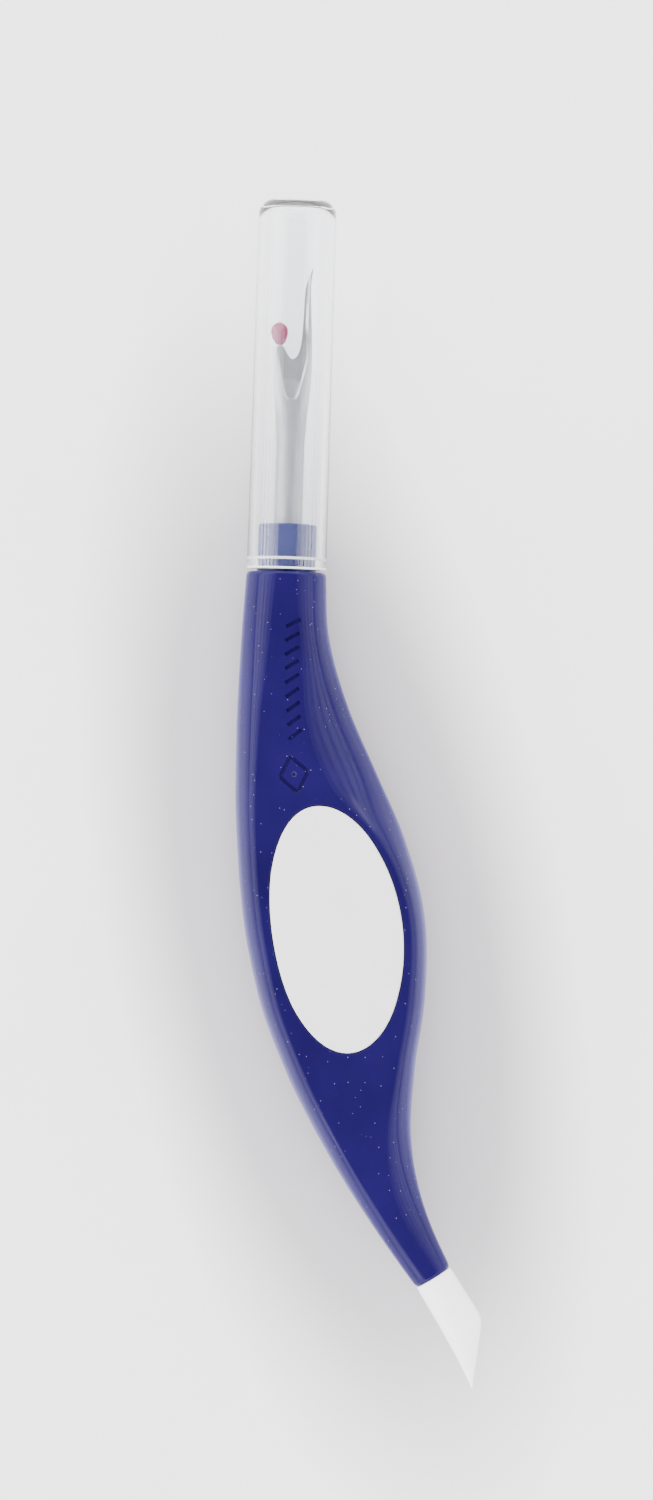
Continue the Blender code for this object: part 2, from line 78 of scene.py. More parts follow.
# Handle, as in the part's source
PARTING_GAP = 0.1
SPINE = (                     # x, y, half width, left rounding, right rounding, right power
    (-7.23, 42.5, 4.80, 4.65, 4.65, 2.00),
    (-7.10, 34.0, 5.35, 4.20, 4.50, 2.00),
    (-5.90, 25.0, 6.85, 3.30, 5.60, 1.30),
    (-3.90, 16.0, 8.80, 2.80, 6.00, 1.25),
    (-1.80, 8.0, 10.25, 2.60, 3.00, 1.60),
    (0.00, 0.0, 10.80, 2.55, 2.20, 2.00),
    (1.30, -8.8, 9.85, 2.40, 2.40, 2.00),
    (2.70, -17.3, 7.60, 2.40, 2.60, 2.00),
    (5.00, -25.9, 5.10, 2.20, 3.40, 2.00),
    (8.40, -33.8, 3.40, 2.15, 3.70, 2.00),
    (13.05, -41.55, 2.40, 2.30, 2.30, 2.00),
)
SPINE_BEFORE = (-7.10, 51.0, 4.60, 4.65, 4.65, 2.0)
SPINE_AFTER = (18.0, -48.36, 2.0, 2.3, 1.5, 2.0)
BELLY = 5                     # which station of SPINE is the belly
SPINE_STEPS = 14
ARC_STEPS = 20
BELLY_HALF = FRONT_SHELL.high.z - MID_Z
NECK_HALF = 4.8
TAIL_HALF = 2.4
BELLY_START = 27.0            # how far along the spine the handle stops growing thicker
BELLY_END = 60.0              # and starts to grow thinner
ROUND_MIN = 0.3
END_ROUND = 0.45
END_ROUND_STEPS = 4
PARTING_ROUND = 0.12
PARTING_ROUND_STEPS = 3
TAIL_HEADING = math.radians(33.4)

WALL = 2.0
CAVITY_START = 17.0
CAVITY_END = 71.0
CAVITY_STEP = 1.5
POST_AT = (24.0, 64.0)
POST_RADIUS = 1.7
POST_ROOT = 4.6
PIN_RADIUS = 0.8
PIN_TOP = 1.6
SOCKET_RADIUS = 0.9
SOCKET_DEPTH = 1.9

PAD_LONG = 14.85
PAD_WIDE = 7.75
PAD_SHIFT = 0.2
PAD_TOP = FRONT_PAD.high.z - MID_Z
PAD_CROWN = 0.03
PAD_EDGE = 0.2
PAD_EDGE_STEPS = 4
PAD_FACE_RINGS = (0.985, 0.95, 0.85, 0.65, 0.40, 0.15)
PAD_SIDES = 128
RECESS_DEPTH = 1.1
RECESS_GAP = 0.1
RECESS_LIP = 0.12
PEG_OFFSET = 8.0
PEG_RADIUS = 1.2
PEG_REACH = 1.3
PEG_HOLE_GAP = 0.1

# Marks pressed into the front: a lozenge with a dimple, and a row of slanted stitches
MARK_RADIUS = 0.24
MARK_SINK = -0.07
STITCH_COUNT = 9
STITCH_FIRST = (6.2, 1.05)    # along, across
STITCH_LAST = (19.6, 0.0)
STITCH_HALF = (0.45, 0.85)
LOZENGE_ALONG = 24.2
LOZENGE_ACROSS = -1.05
LOZENGE_HALF_LENGTH = 2.2
LOZENGE_HALF_WIDTH = 1.7
DIMPLE_RADIUS = 0.5
DIMPLE_LIFT = 0.3             # how far the dimple's centre is above the surface

COLLAR_RADIUS = HOLDER.size.x / 2.0
COLLAR_TOP = HOLDER.high.y
COLLAR_EDGE = 0.3
NECK_Y = SPINE[0][1]
SEAT_GAP = 0.1
COLLAR_EDGE_STEPS = 6
SHANK_RADIUS = 3.1
SHANK_END = HOLDER.low.y
GROOVE_RADIUS = 2.3
GROOVE = (34.0, 35.6)
TANG_RADIUS = 1.70
TANG_END = BLADE.low.y
TANG_GAP = 0.05
TANG_CHAMFER = 0.3

CAP_MOUTH = CAP.low.y
CAP_LENGTH = CAP.size.y
CAP_MOUTH_RADIUS = CAP.size.x / 2.0
CAP_TOP_RADIUS = 4.65
CAP_LAND_RADIUS = 3.62
CAP_LAND_LENGTH = 1.2
CAP_BORE_RADIUS = 3.95
CAP_BORE_START = 1.5
CAP_END_WALL = 1.2
CAP_SHOULDER = 1.8
CAP_INNER_SHOULDER = 1.0
CAP_RIM = 0.25
CAP_RIM_STEPS = 4
CAP_SHOULDER_STEPS = 12
CAP_INNER_STEPS = 8
CAP_SIDES = 128

BLADE_STATIONS = (            # y, half width, half thickness, squareness of the section
    (58.5, TANG_RADIUS, TANG_RADIUS, 2.0),
    (61.5, 1.98, 1.56, 2.0),
    (64.5, 2.45, 1.28, 2.0),
    (68.0, 2.72, 0.95, 2.0),
    (73.0, 2.72, 0.68, 2.1),
    (80.5, 2.72, 0.34, 2.3),
)
BLADE_SIDES = 64
BLADE_STEPS = 8
FORK_OUTER = (                # offsets from the blade's axis, up the long prong's outer side
    (1.76, 58.2), (1.85, 60.8), (2.05, 63.2), (2.28, 66.5), (2.20, 70.7), (1.96, 74.5), (1.90, 77.2),
    (2.15, 79.15),
)
FORK_INNER = (                # down the long prong's inner side, round the crotch
    (2.15, 79.15), (1.62, 78.1), (1.22, 76.4), (1.12, 73.5), (0.96, 70.4), (0.60, 68.8),
    (0.00, 68.15), (-0.62, 68.6), (-1.15, 69.65),
)
FORK_SHORT = (                # down the short prong's outer side
    (-2.42, 69.55), (-2.44, 67.7), (-2.27, 65.3), (-2.05, 63.2), (-1.85, 60.8), (-1.76, 58.2),
)
FORK_STEPS = 10
FORK_START = 56.5
FORK_MARGIN = 1.90
SCOOP = (                     # y, half width and height of the ground hollow's floor, its wall's height
    (63.25, 0.02, 1.14, 0.24),
    (63.32, 0.20, 1.13, 0.25),
    (63.55, 0.40, 1.08, 0.28),
    (64.10, 0.65, 1.05, 0.27),
    (65.40, 1.05, 0.91, 0.28),
    (67.00, 1.38, 0.62, 0.34),
    (68.30, 1.60, 0.40, 0.44),
    (70.00, 1.60, 0.22, 0.62),
    (73.00, 1.45, 0.30, 0.34),
    (80.50, 1.70, 0.14, 0.20),
)
SCOOP_SHIFT = -0.08
SCOOP_RUN = 0.45              # how far the wall leans out while it rises by its height
SCOOP_STEPS = 6
SCOOP_CLEAR = 3.0
WALL_TILT = 0.95              # a face of the hollow is a wall if its normal rises less than this
PRESSED = (61.0, 66.0)        # y where the steel starts to look pressed, and where it fully does
BALL_LEAN = math.radians(5.0)
BALL_RADIUS = 1.02
BALL_HALF_LENGTH = 1.40
BALL_SEGMENTS = 48
BALL_RINGS = 32
BALL_EGG = 0.28               # how much fuller the ball is above its middle
BALL_PIN_RADIUS = 0.3
BALL_PIN_GAP = 0.06
BALL_PIN_ROOT = 2.6
BALL_PIN_TIP = 0.2

TAIL_POINT = Vector((SPINE[-1][0], SPINE[-1][1], MID_Z))
TAIL_AXIS = Vector((math.sin(TAIL_HEADING), -math.cos(TAIL_HEADING), 0.0))
TAIL_SIDE = Vector((math.cos(TAIL_HEADING), math.sin(TAIL_HEADING), 0.0))
SPIGOT_RADIUS = 1.5
SPIGOT_GROOVE_RADIUS = 1.1
SPIGOT_END = -10.0
SPIGOT_GROOVE = (-6.0, -4.6)
SPIGOT_GAP = 0.1
SPIGOT_ROUND = 0.35
TIP_STATIONS = (              # along, left edge, right edge, half thickness, drop of the centre
    (0.10, -2.10, 2.10, 2.05, 0.0),
    (0.35, -2.35, 2.35, 2.32, 0.0),
    (4.00, -2.45, 2.38, 2.25, 0.0),
    (6.40, -2.53, 2.38, 2.08, 0.04),
    (7.30, -2.57, 2.20, 1.98, 0.08),
    (8.20, -2.61, 1.66, 1.84, 0.16),
    (9.50, -2.68, 0.62, 1.55, 0.3),
    (11.50, -2.85, -1.04, 0.95, 0.7),
    (13.30, -3.03, -2.52, 0.32, 1.1),
    (14.00, -3.15, -3.02, 0.12, 1.2),
)
TIP_SIDES = 56
TIP_STEPS = 8

ROUND_SIDES = 96
ROD_SIDES = 40
SMOOTH_ANGLE = math.radians(32.0)
CLEAR_OF = 1.0                # how far a tool reaches past what it cuts or joins
TURNED_WELD = 0.0005          # vertices nearer than this become one
BEAD_WELD = 0.001
RANGE_INPUTS = ("From Min", "From Max", "To Min", "To Max")

# Studio, in metres, but for the view's centre and the oval of painted shadow on the floor, in millimetres
CAMERA_HEIGHT = 0.70
VIEW_HEIGHT = 0.1794          # what the frame takes in at the view level
VIEW_LEVEL = 0.009
VIEW_CENTRE = (-1.75, 21.3)
VIEW_TURN = math.radians(1.8)
SENSOR = 36.0
CLIP_START = 0.01
FLOOR_HALF = 1.5
# The oval below is a painted shadow: the floor is coloured grey round the handle where a soft shadow
# would fall
PAINTED_SHADOW_TURN = math.radians(13.5)
PAINTED_SHADOW_WIDE = 16.0
PAINTED_SHADOW_LONG = 45.0
PAINTED_SHADOW_FADE = (1.1, 1.75)      # where the painted shadow's grey starts and ends to fade, in half widths of the oval
WORLD_FADE = (0.05, 0.65, 1.2, 0.14)    # from and to what height, and the strength at each
BOX_DISTANCE = 0.8
BOX_LENGTH = 1.5
# A panel is its zenith and its width in degrees, and its radiance
SIDE_PANELS = (
    (32.5, 5.0, 3.8),
    (43.5, 9.0, 5.4),
    (55.5, 9.0, 8.0),
    (68.0, 9.0, 9.0),
    (79.0, 7.0, 8.5),
)
END_PANEL = (66.0, 34.0, 6.0)
FILL_PANEL = (0.0, 50.0, 3.6)
RIGHT_SHARE = 0.6             # how bright the right panels are beside the left ones


# ---- mesh makers -----------------------------------------------------------------------------

def add_object(name, bm, place=Matrix()):
    """Turn a bmesh in millimetres into an object whose vertices stand in the row's frame."""
    mesh = bpy.data.meshes.new(name)
    bmesh.ops.transform(bm, matrix=Matrix.Scale(MM, 4) @ place, verts=bm.verts)
    bm.to_mesh(mesh)
    bm.free()
    obj = bpy.data.objects.new(name, mesh)
    bpy.context.scene.collection.objects.link(obj)
    return obj


def shade(obj):
    obj.data.shade_smooth()
    obj.data.set_sharp_from_angle(angle=SMOOTH_ANGLE)


def combine(target, operation, tool):
    """Cut or join at once, and drop the tool."""
    modifier = target.modifiers.new("combine", "BOOLEAN")
    modifier.operation = operation
    modifier.solver = "EXACT"
    modifier.object = tool
    graph = bpy.context.evaluated_depsgraph_get()
    mesh = bpy.data.meshes.new_from_object(target.evaluated_get(graph))
    target.modifiers.remove(modifier)
    old = target.data
    target.data = mesh
    bpy.data.meshes.remove(old)
    bpy.data.objects.remove(tool, do_unlink=True)


def axis_frame(point, axis):
    """Frame at point whose local Z lies along axis."""
    turn = axis.to_track_quat("Z", "Y").to_matrix().to_4x4()
    return Matrix.Translation(point) @ turn


def loft(rings):
    """Closed skin through rings of equal length, with a flat cap at each end."""
    bm = bmesh.new()
    loops = [[bm.verts.new(point) for point in ring] for ring in rings]
    for near, far in zip(loops, loops[1:]):
        for index in range(len(near)):
            after = (index + 1) % len(near)
            bm.faces.new((near[index], near[after], far[after], far[index]))
    bm.faces.new(loops[0])
    bm.faces.new(loops[-1])
    bmesh.ops.recalc_face_normals(bm, faces=bm.faces)
    return bm


def rod(name, start, end, radius, sides=ROD_SIDES):
    bm = bmesh.new()
    axis = end - start
    bmesh.ops.create_cone(
        bm, cap_ends=True, segments=sides, radius1=radius, radius2=radius, depth=axis.length)
    return add_object(name, bm, axis_frame((start + end) / 2.0, axis))


def turned(name, profile, point, axis, sides=ROUND_SIDES):
    """Solid of revolution: profile holds (radius, height) and starts and ends on the axis."""
    bm = bmesh.new()
    chain = [bm.verts.new((radius, 0.0, height)) for radius, height in profile]
    edges = [bm.edges.new(pair) for pair in zip(chain, chain[1:])]
    bmesh.ops.spin(
        bm, geom=chain + edges, axis=(0.0, 0.0, 1.0), cent=(0.0, 0.0, 0.0),
        angle=2.0 * math.pi, steps=sides, use_merge=True)
    bmesh.ops.remove_doubles(bm, verts=bm.verts, dist=TURNED_WELD)
    bmesh.ops.recalc_face_normals(bm, faces=bm.faces)
    return add_object(name, bm, axis_frame(point, axis))


def arc(centre, radius, start, end, steps):
    """Points of an arc from start to end degrees about centre."""
    points = []
    for index in range(steps + 1):
        angle = math.radians(start + (end - start) * index / steps)
        points.append((centre[0] + radius * math.cos(angle), centre[1] + radius * math.sin(angle)))
    return points


def superellipse(wide, long, power, sides):
    """Closed outline of (across, along) points."""
    points = []
    for index in range(sides):
        angle = 2.0 * math.pi * index / sides
        across = math.copysign(abs(math.cos(angle)) ** (2.0 / power), math.cos(angle))
        along = math.copysign(abs(math.sin(angle)) ** (2.0 / power), math.sin(angle))
        points.append((wide * across, long * along))
    return points


def catmull(points, steps, before=None, after=None):
    """Smooth curve through points, with steps pieces between each two of them."""
    guide = [Vector(point) for point in (before or points[0], *points, after or points[-1])]
    curve = []
    for p0, p1, p2, p3 in zip(guide, guide[1:], guide[2:], guide[3:]):
        for index in range(steps):
            t = index / steps
            curve.append(
                0.5 * ((2.0 * p1) + (p2 - p0) * t + (2.0 * p0 - 5.0 * p1 + 4.0 * p2 - p3) * t * t
                       + (3.0 * p1 - p0 - 3.0 * p2 + p3) * t ** 3))
    curve.append(guide[-2])
    return curve


def smoothstep(value):
    value = min(max(value, 0.0), 1.0)
    return value * value * (3.0 - 2.0 * value)


def bead_along(name, points, radius):
    """Round bead that follows points, for pressing a groove."""
    curve = bpy.data.curves.new(name, "CURVE")
    curve.dimensions = "3D"
    curve.bevel_depth = radius * MM
    curve.bevel_resolution = 4
    curve.use_fill_caps = True
    spline = curve.splines.new("POLY")
    spline.points.add(len(points) - 1)
    for target, point in zip(spline.points, points):
        target.co = (*(point * MM), 1.0)
    guide = bpy.data.objects.new(name, curve)
    bpy.context.scene.collection.objects.link(guide)
    graph = bpy.context.evaluated_depsgraph_get()
    mesh = bpy.data.meshes.new_from_object(guide.evaluated_get(graph))
    bpy.data.objects.remove(guide, do_unlink=True)
    bm = bmesh.new()
    bm.from_mesh(mesh)
    bmesh.ops.remove_doubles(bm, verts=bm.verts, dist=BEAD_WELD * MM)
    bmesh.ops.recalc_face_normals(bm, faces=bm.faces)
    bmesh.ops.scale(bm, vec=Vector((1.0, 1.0, 1.0)) / MM, verts=bm.verts)
    return add_object(name, bm)


# ---- handle ----------------------------------------------------------------------------------

class Station:
    """Cross-section of the handle at one distance along its spine: a flat top between two roundings."""

    def __init__(self, along, heading, sizes, total):
        x, y, self.half_width, self.left_round, self.right_round, self.right_power = sizes
        self.along = along
        self.centre = Vector((x, y, MID_Z))
        self.side = Vector((math.cos(heading), math.sin(heading), 0.0))
        self.half_height = half_height_at(along, total)

    def place(self, across, height):
        return self.centre + self.side * across + UP * height

    def surface(self, across):
        """Height of the front surface above the middle plane."""
        edge, rounding, power = self.half_width - self.right_round, self.right_round, self.right_power
        if across < 0.0:
            edge, rounding, power = self.half_width - self.left_round, self.left_round, 2.0
        past = min(max((abs(across) - edge) / rounding, 0.0), 1.0)
        return self.half_height * math.sqrt(1.0 - past ** power)


def half_height_at(along, total):
    if along < BELLY_START:
        return NECK_HALF + (BELLY_HALF - NECK_HALF) * smoothstep(along / BELLY_START)
    return BELLY_HALF + (TAIL_HALF - BELLY_HALF) * smoothstep((along - BELLY_END) / (total - BELLY_END))


def make_stations():
    curve = catmull(SPINE, SPINE_STEPS, SPINE_BEFORE, SPINE_AFTER)
    steps = [math.dist(near[:2], far[:2]) for near, far in zip(curve, curve[1:])]
    total = sum(steps)
    stations = []
    for index, sizes in enumerate(curve):
        if index == 0:
            heading = 0.0
        elif index == len(curve) - 1:
            heading = TAIL_HEADING
        else:
            before, after = curve[index - 1], curve[index + 1]
            heading = math.atan2(after[0] - before[0], before[1] - after[1])
        stations.append(Station(sum(steps[:index]), heading, sizes, total))
    return stations


def neighbours(along):
    """Stations on both sides of a distance along the spine, and how far it is from one to the other."""
    for near, far in zip(STATIONS, STATIONS[1:]):
        if along <= far.along:
            return near, far, (along - near.along) / (far.along - near.along)
    return STATIONS[-2], STATIONS[-1], 1.0


def spine_point(along, across, height):
    """Point at a distance along the spine, across it, and above the middle plane."""
    near, far, share = neighbours(along)
    return near.place(across, height).lerp(far.place(across, height), share)


def surface_point(along, across, raised):
    """Point on the front surface, raised above it."""
    near, far, share = neighbours(along)
    low = near.place(across, near.surface(across) + raised)
    return low.lerp(far.place(across, far.surface(across) + raised), share)


def side_curve(edge, rounding, power, half_height, start):
    """Points from height start at the widest place up to the edge of the flat top."""
    widest = math.acos(start / half_height)
    curve = []
    for index in range(ARC_STEPS + 1):
        angle = widest * (1.0 - index / ARC_STEPS)
        across = edge + rounding * math.sin(angle) ** (2.0 / power)
        curve.append((across, half_height * math.cos(angle)))
    return curve


def half_section(station, inset, start):
    """Upper half of a section from its right side over the top to its left side."""
    half_height = station.half_height - inset
    right_edge = station.half_width - station.right_round
    left_edge = station.half_width - station.left_round
    right_round = max(station.right_round - inset, ROUND_MIN)
    left_round = max(station.left_round - inset, ROUND_MIN)
    right = side_curve(right_edge, right_round, station.right_power, half_height, start)
    left = side_curve(left_edge, left_round, 2.0, half_height, start)
    return right + [(-across, height) for across, height in reversed(left)]


def rounded_parting(section):
    """The same section with a small radius where it meets the parting plane."""
    start = PARTING_GAP / 2.0
    corner = arc((0.0, start + PARTING_ROUND), PARTING_ROUND, -90.0, 0.0, PARTING_ROUND_STEPS)
    widest_right = section[0][0]
    widest_left = section[-1][0]
    right = [(widest_right - PARTING_ROUND + across, height) for across, height in corner[:-1]]
    left = [(widest_left + PARTING_ROUND - across, height) for across, height in reversed(corner[:-1])]
    return right + section + left


def end_rounding(station, inner):
    """An end station repeated from its end inwards, each time with its inset and its shift."""
    inward = (inner.centre - station.centre).normalized()
    corner = arc((END_ROUND, END_ROUND), END_ROUND, 180.0, 270.0, END_ROUND_STEPS)
    return [(station, inset, inward * shift) for shift, inset in corner]


def end_layout():
    """Stations with the insets and shifts that round off the handle's two ends."""
    layout = end_rounding(STATIONS[0], STATIONS[1])
    layout += [(station, 0.0, Vector()) for station in STATIONS[1:-1]]
    layout += reversed(end_rounding(STATIONS[-1], STATIONS[-2]))
    return layout


def shell_body(name, face):
    """Solid outer half of the handle; face is +1 for the front half and -1 for the rear one."""
    start = PARTING_GAP / 2.0 + PARTING_ROUND
    rings = []
    for station, inset, shift in end_layout():
        section = rounded_parting(half_section(station, inset, start))
        rings.append([station.place(across, face * height) + shift for across, height in section])
    return add_object(name, loft(rings))


def cavity_tool():
    rings = []
    last_along = -CAVITY_STEP
    for station in STATIONS:
        inside = CAVITY_START <= station.along <= CAVITY_END
        if inside and station.along - last_along >= CAVITY_STEP:
            last_along = station.along
            upper = half_section(station, WALL, 0.0)
            lower = [(across, -height) for across, height in reversed(upper[1:-1])]
            rings.append([station.place(across, height) for across, height in upper + lower])
    return add_object("cavity", loft(rings))


def seat_profile(mouth, end, radius, groove_radius, groove, gap):
    """Seat of a grooved shank, with a gap all round it and a rib left standing for the groove."""
    wide = radius + gap
    narrow = groove_radius + gap
    return [
        (0.0, mouth),
        (wide, mouth),
        (wide, groove[1] - gap),
        (narrow, groove[1] - gap),
        (narrow, groove[0] + gap),
        (wide, groove[0] + gap),
        (wide, end - gap),
        (0.0, end - gap),
    ]


def neck_tool():
    mouth = NECK_Y + CLEAR_OF
    profile = seat_profile(mouth, SHANK_END, SHANK_RADIUS, GROOVE_RADIUS, GROOVE, SEAT_GAP)
    return turned("neck_seat", profile, Vector((AXIS_X, 0.0, MID_Z)), ALONG_Y)


def tail_tool():
    profile = seat_profile(
        CLEAR_OF, SPIGOT_END, SPIGOT_RADIUS, SPIGOT_GROOVE_RADIUS, SPIGOT_GROOVE, SPIGOT_GAP)
    return turned("tail_seat", profile, TAIL_POINT, TAIL_AXIS)


def pad_ring(wide, long, height):
    """Oval ring round the pad's middle, at a height above the middle plane."""
    outline = superellipse(wide, long, 2.0, PAD_SIDES)
    return [spine_point(MIDDLE + along, PAD_SHIFT + across, height) for across, along in outline]


def pad_outline(grow, height):
    return pad_ring(PAD_WIDE + grow, PAD_LONG + grow, height)


def recess_tool(face):
    """Oval pocket with a small chamfer at its mouth."""
    layout = (
        (RECESS_GAP, BELLY_HALF - RECESS_DEPTH),
        (RECESS_GAP, BELLY_HALF - RECESS_LIP),
        (RECESS_GAP + RECESS_LIP, BELLY_HALF),
        (RECESS_GAP + RECESS_LIP, BELLY_HALF + CLEAR_OF),
    )
    rings = [pad_outline(grow, face * height) for grow, height in layout]
    return add_object("recess", loft(rings))


def peg_points(height):
    for end in (-1.0, 1.0):
        yield spine_point(MIDDLE + end * PEG_OFFSET, PAD_SHIFT, height)


def cut_peg_holes(shell, face):
    for point in peg_points(face * (BELLY_HALF - RECESS_DEPTH)):
        reach = UP * (face * (WALL + CLEAR_OF))
        hole = rod("peg_hole", point - reach, point + reach, PEG_RADIUS + PEG_HOLE_GAP)
        combine(shell, "DIFFERENCE", hole)


def add_posts(shell, face):
    """Posts that carry the alignment pins on the rear shell and their sockets on the front one."""
    for along in POST_AT:
        centre = spine_point(along, 0.0, 0.0)
        foot = centre + UP * (face * PARTING_GAP / 2.0)
        combine(shell, "UNION", rod("post", foot, centre + UP * (face * POST_ROOT), POST_RADIUS))
        if face < 0:
            combine(shell, "UNION", rod("pin", centre - UP * CLEAR_OF, centre + UP * PIN_TOP, PIN_RADIUS))
        else:
            top = centre + UP * SOCKET_DEPTH
            combine(shell, "DIFFERENCE", rod("socket", centre - UP * CLEAR_OF, top, SOCKET_RADIUS))


def press_marks(shell):
    """A lozenge with a dimple, and a row of slanted stitches, as rounded grooves in the front."""
    for index in range(STITCH_COUNT):
        share = index / (STITCH_COUNT - 1.0)
        along = STITCH_FIRST[0] + (STITCH_LAST[0] - STITCH_FIRST[0]) * share
        across = STITCH_FIRST[1] + (STITCH_LAST[1] - STITCH_FIRST[1]) * share
        points = []
        for side in (1.0, 0.5, 0.0, -0.5, -1.0):
            points.append(surface_point(
                along - side * STITCH_HALF[0], across + side * STITCH_HALF[1], MARK_SINK))
        combine(shell, "DIFFERENCE", bead_along("stitch", points, MARK_RADIUS))
    ends = ((0.0, -1.0), (1.0, 0.0), (0.0, 1.0), (-1.0, 0.0), (0.0, -1.0))
    for near, far in zip(ends, ends[1:]):
        points = []
        for share in (0.0, 0.25, 0.5, 0.75, 1.0):
            across = LOZENGE_ACROSS + (near[0] + (far[0] - near[0]) * share) * LOZENGE_HALF_WIDTH
            along = LOZENGE_ALONG + (near[1] + (far[1] - near[1]) * share) * LOZENGE_HALF_LENGTH
            points.append(surface_point(along, across, MARK_SINK))
        combine(shell, "DIFFERENCE", bead_along("lozenge_side", points, MARK_RADIUS))
    bm = bmesh.new()
    bmesh.ops.create_uvsphere(bm, u_segments=32, v_segments=20, radius=DIMPLE_RADIUS)
    centre = surface_point(LOZENGE_ALONG, LOZENGE_ACROSS, DIMPLE_LIFT)
    combine(shell, "DIFFERENCE", add_object("dimple", bm, Matrix.Translation(centre)))


def make_shell(name, face):
    shell = shell_body(name, face)
    for tool in (cavity_tool(), neck_tool(), tail_tool(), recess_tool(face)):
        combine(shell, "DIFFERENCE", tool)
    cut_peg_holes(shell, face)
    add_posts(shell, face)
    return shell


def make_pad(name, face):
    """Oval inlay with a rounded edge, a slight crown and two pegs."""
    floor = BELLY_HALF - RECESS_DEPTH + RECESS_GAP
    edge_top = PAD_TOP - PAD_CROWN
    layout = [(0.0, floor)]
    layout += arc((-PAD_EDGE, edge_top - PAD_EDGE), PAD_EDGE, 0.0, 90.0, PAD_EDGE_STEPS)
    rings = [pad_outline(grow, face * height) for grow, height in layout]
    for share in PAD_FACE_RINGS:
        height = face * (edge_top + PAD_CROWN * (1.0 - share * share))
        rings.append(pad_ring((PAD_WIDE - PAD_EDGE) * share, (PAD_LONG - PAD_EDGE) * share, height))
    pad = add_object(name, loft(rings))
    for point in peg_points(face * floor):
        start = point + UP * (face * PAD_EDGE)
        combine(pad, "UNION", rod("peg", start, point - UP * (face * PEG_REACH), PEG_RADIUS))
    return pad


# ---- pieces on the blade's axis --------------------------------------------------------------

def make_holder():
    bore = TANG_RADIUS + TANG_GAP
    rim = (COLLAR_RADIUS - COLLAR_EDGE, COLLAR_TOP - COLLAR_EDGE)
    profile = [(0.0, TANG_END - SEAT_GAP), (bore, TANG_END - SEAT_GAP), (bore, COLLAR_TOP - SEAT_GAP)]
    profile += [(bore + SEAT_GAP, COLLAR_TOP)]
    profile += arc(rim, COLLAR_EDGE, 90.0, 0.0, COLLAR_EDGE_STEPS)
    profile += [
        (COLLAR_RADIUS, NECK_Y + SEAT_GAP),
        (SHANK_RADIUS, NECK_Y + SEAT_GAP),
        (SHANK_RADIUS, GROOVE[1]),
        (GROOVE_RADIUS, GROOVE[1]),
        (GROOVE_RADIUS, GROOVE[0]),
        (SHANK_RADIUS, GROOVE[0]),
        (SHANK_RADIUS, SHANK_END + COLLAR_EDGE),
        (SHANK_RADIUS - COLLAR_EDGE, SHANK_END),
        (0.0, SHANK_END),
    ]
    return turned("holder", profile, Vector((AXIS_X, 0.0, MID_Z)), ALONG_Y)


def make_cap():
    """Cap as one turned wall; heights start at its mouth."""
    inner_top = CAP_LENGTH - CAP_END_WALL
    shoulder = (CAP_TOP_RADIUS - CAP_SHOULDER, CAP_LENGTH - CAP_SHOULDER)
    inner_shoulder = (CAP_BORE_RADIUS - CAP_INNER_SHOULDER, inner_top - CAP_INNER_SHOULDER)
    profile = [(0.0, CAP_LENGTH)]
    profile += arc(shoulder, CAP_SHOULDER, 90.0, 0.0, CAP_SHOULDER_STEPS)
    profile += arc((CAP_MOUTH_RADIUS - CAP_RIM, CAP_RIM), CAP_RIM, 0.0, -90.0, CAP_RIM_STEPS)
    profile += arc((CAP_LAND_RADIUS + CAP_RIM, CAP_RIM), CAP_RIM, -90.0, -180.0, CAP_RIM_STEPS)
    profile += [(CAP_LAND_RADIUS, CAP_LAND_LENGTH), (CAP_BORE_RADIUS, CAP_BORE_START)]
    profile += arc(inner_shoulder, CAP_INNER_SHOULDER, 0.0, 90.0, CAP_INNER_STEPS)
    profile += [(0.0, inner_top)]
    cap = turned("cap", profile, Vector((AXIS_X, CAP_MOUTH, MID_Z)), ALONG_Y, CAP_SIDES)
    cap.data.materials.append(clear_plastic("cap_plastic"))
    cap.data.materials.append(frosted_plastic("frosted_plastic"))
    for face in cap.data.polygons:
        height = face.center.y / MM - CAP_MOUTH
        step = CAP_LAND_LENGTH < height < CAP_BORE_START
        radius = math.hypot(face.center.x / MM - AXIS_X, face.center.z / MM - MID_Z)
        if height < CAP_RIM or (step and radius < CAP_BORE_RADIUS):
            face.material_index = 1
    return cap


def fork_outline():
    """Flat outline of the blade, wider than its round shank and true along the fork."""
    outline = [Vector((FORK_MARGIN, TANG_END - CLEAR_OF)), Vector((FORK_MARGIN, FORK_START))]
    outline += catmull(FORK_OUTER, FORK_STEPS)[:-1]
    outline += catmull(FORK_INNER, FORK_STEPS)
    outline += catmull(FORK_SHORT, FORK_STEPS)
    outline += [Vector((-FORK_MARGIN, FORK_START)), Vector((-FORK_MARGIN, TANG_END - CLEAR_OF))]
    return outline


def scoop_tool(face, ground, polished):
    """Trough with a ground floor and polished, leaning walls, deepest where the two prongs part."""
    rings = []
    for y, half_width, floor, wall in catmull(SCOOP, SCOOP_STEPS):
        lip = half_width + SCOOP_CLEAR * SCOOP_RUN
        top = floor + SCOOP_CLEAR * wall
        section = ((half_width, floor), (lip, top), (-lip, top), (-half_width, floor))
        middle = Vector((AXIS_X + SCOOP_SHIFT, y, MID_Z))
        rings.append([middle + Vector((across, 0.0, face * height)) for across, height in section])
    scoop = add_object("scoop", loft(rings))
    scoop.data.materials.append(ground)
    scoop.data.materials.append(polished)
    for polygon in scoop.data.polygons:
        polygon.material_index = int(abs(polygon.normal.z) < WALL_TILT)
    return scoop


def blade_section(y, half_width, half_height, power):
    section = superellipse(half_width, half_height, power, BLADE_SIDES)
    return [Vector((AXIS_X + across, y, MID_Z + height)) for across, height in section]


def ball_place():
    return Vector((BALL.centre.x, BALL.centre.y, MID_Z))


def ball_axis():
    return Vector((-math.sin(BALL_LEAN), math.cos(BALL_LEAN), 0.0))


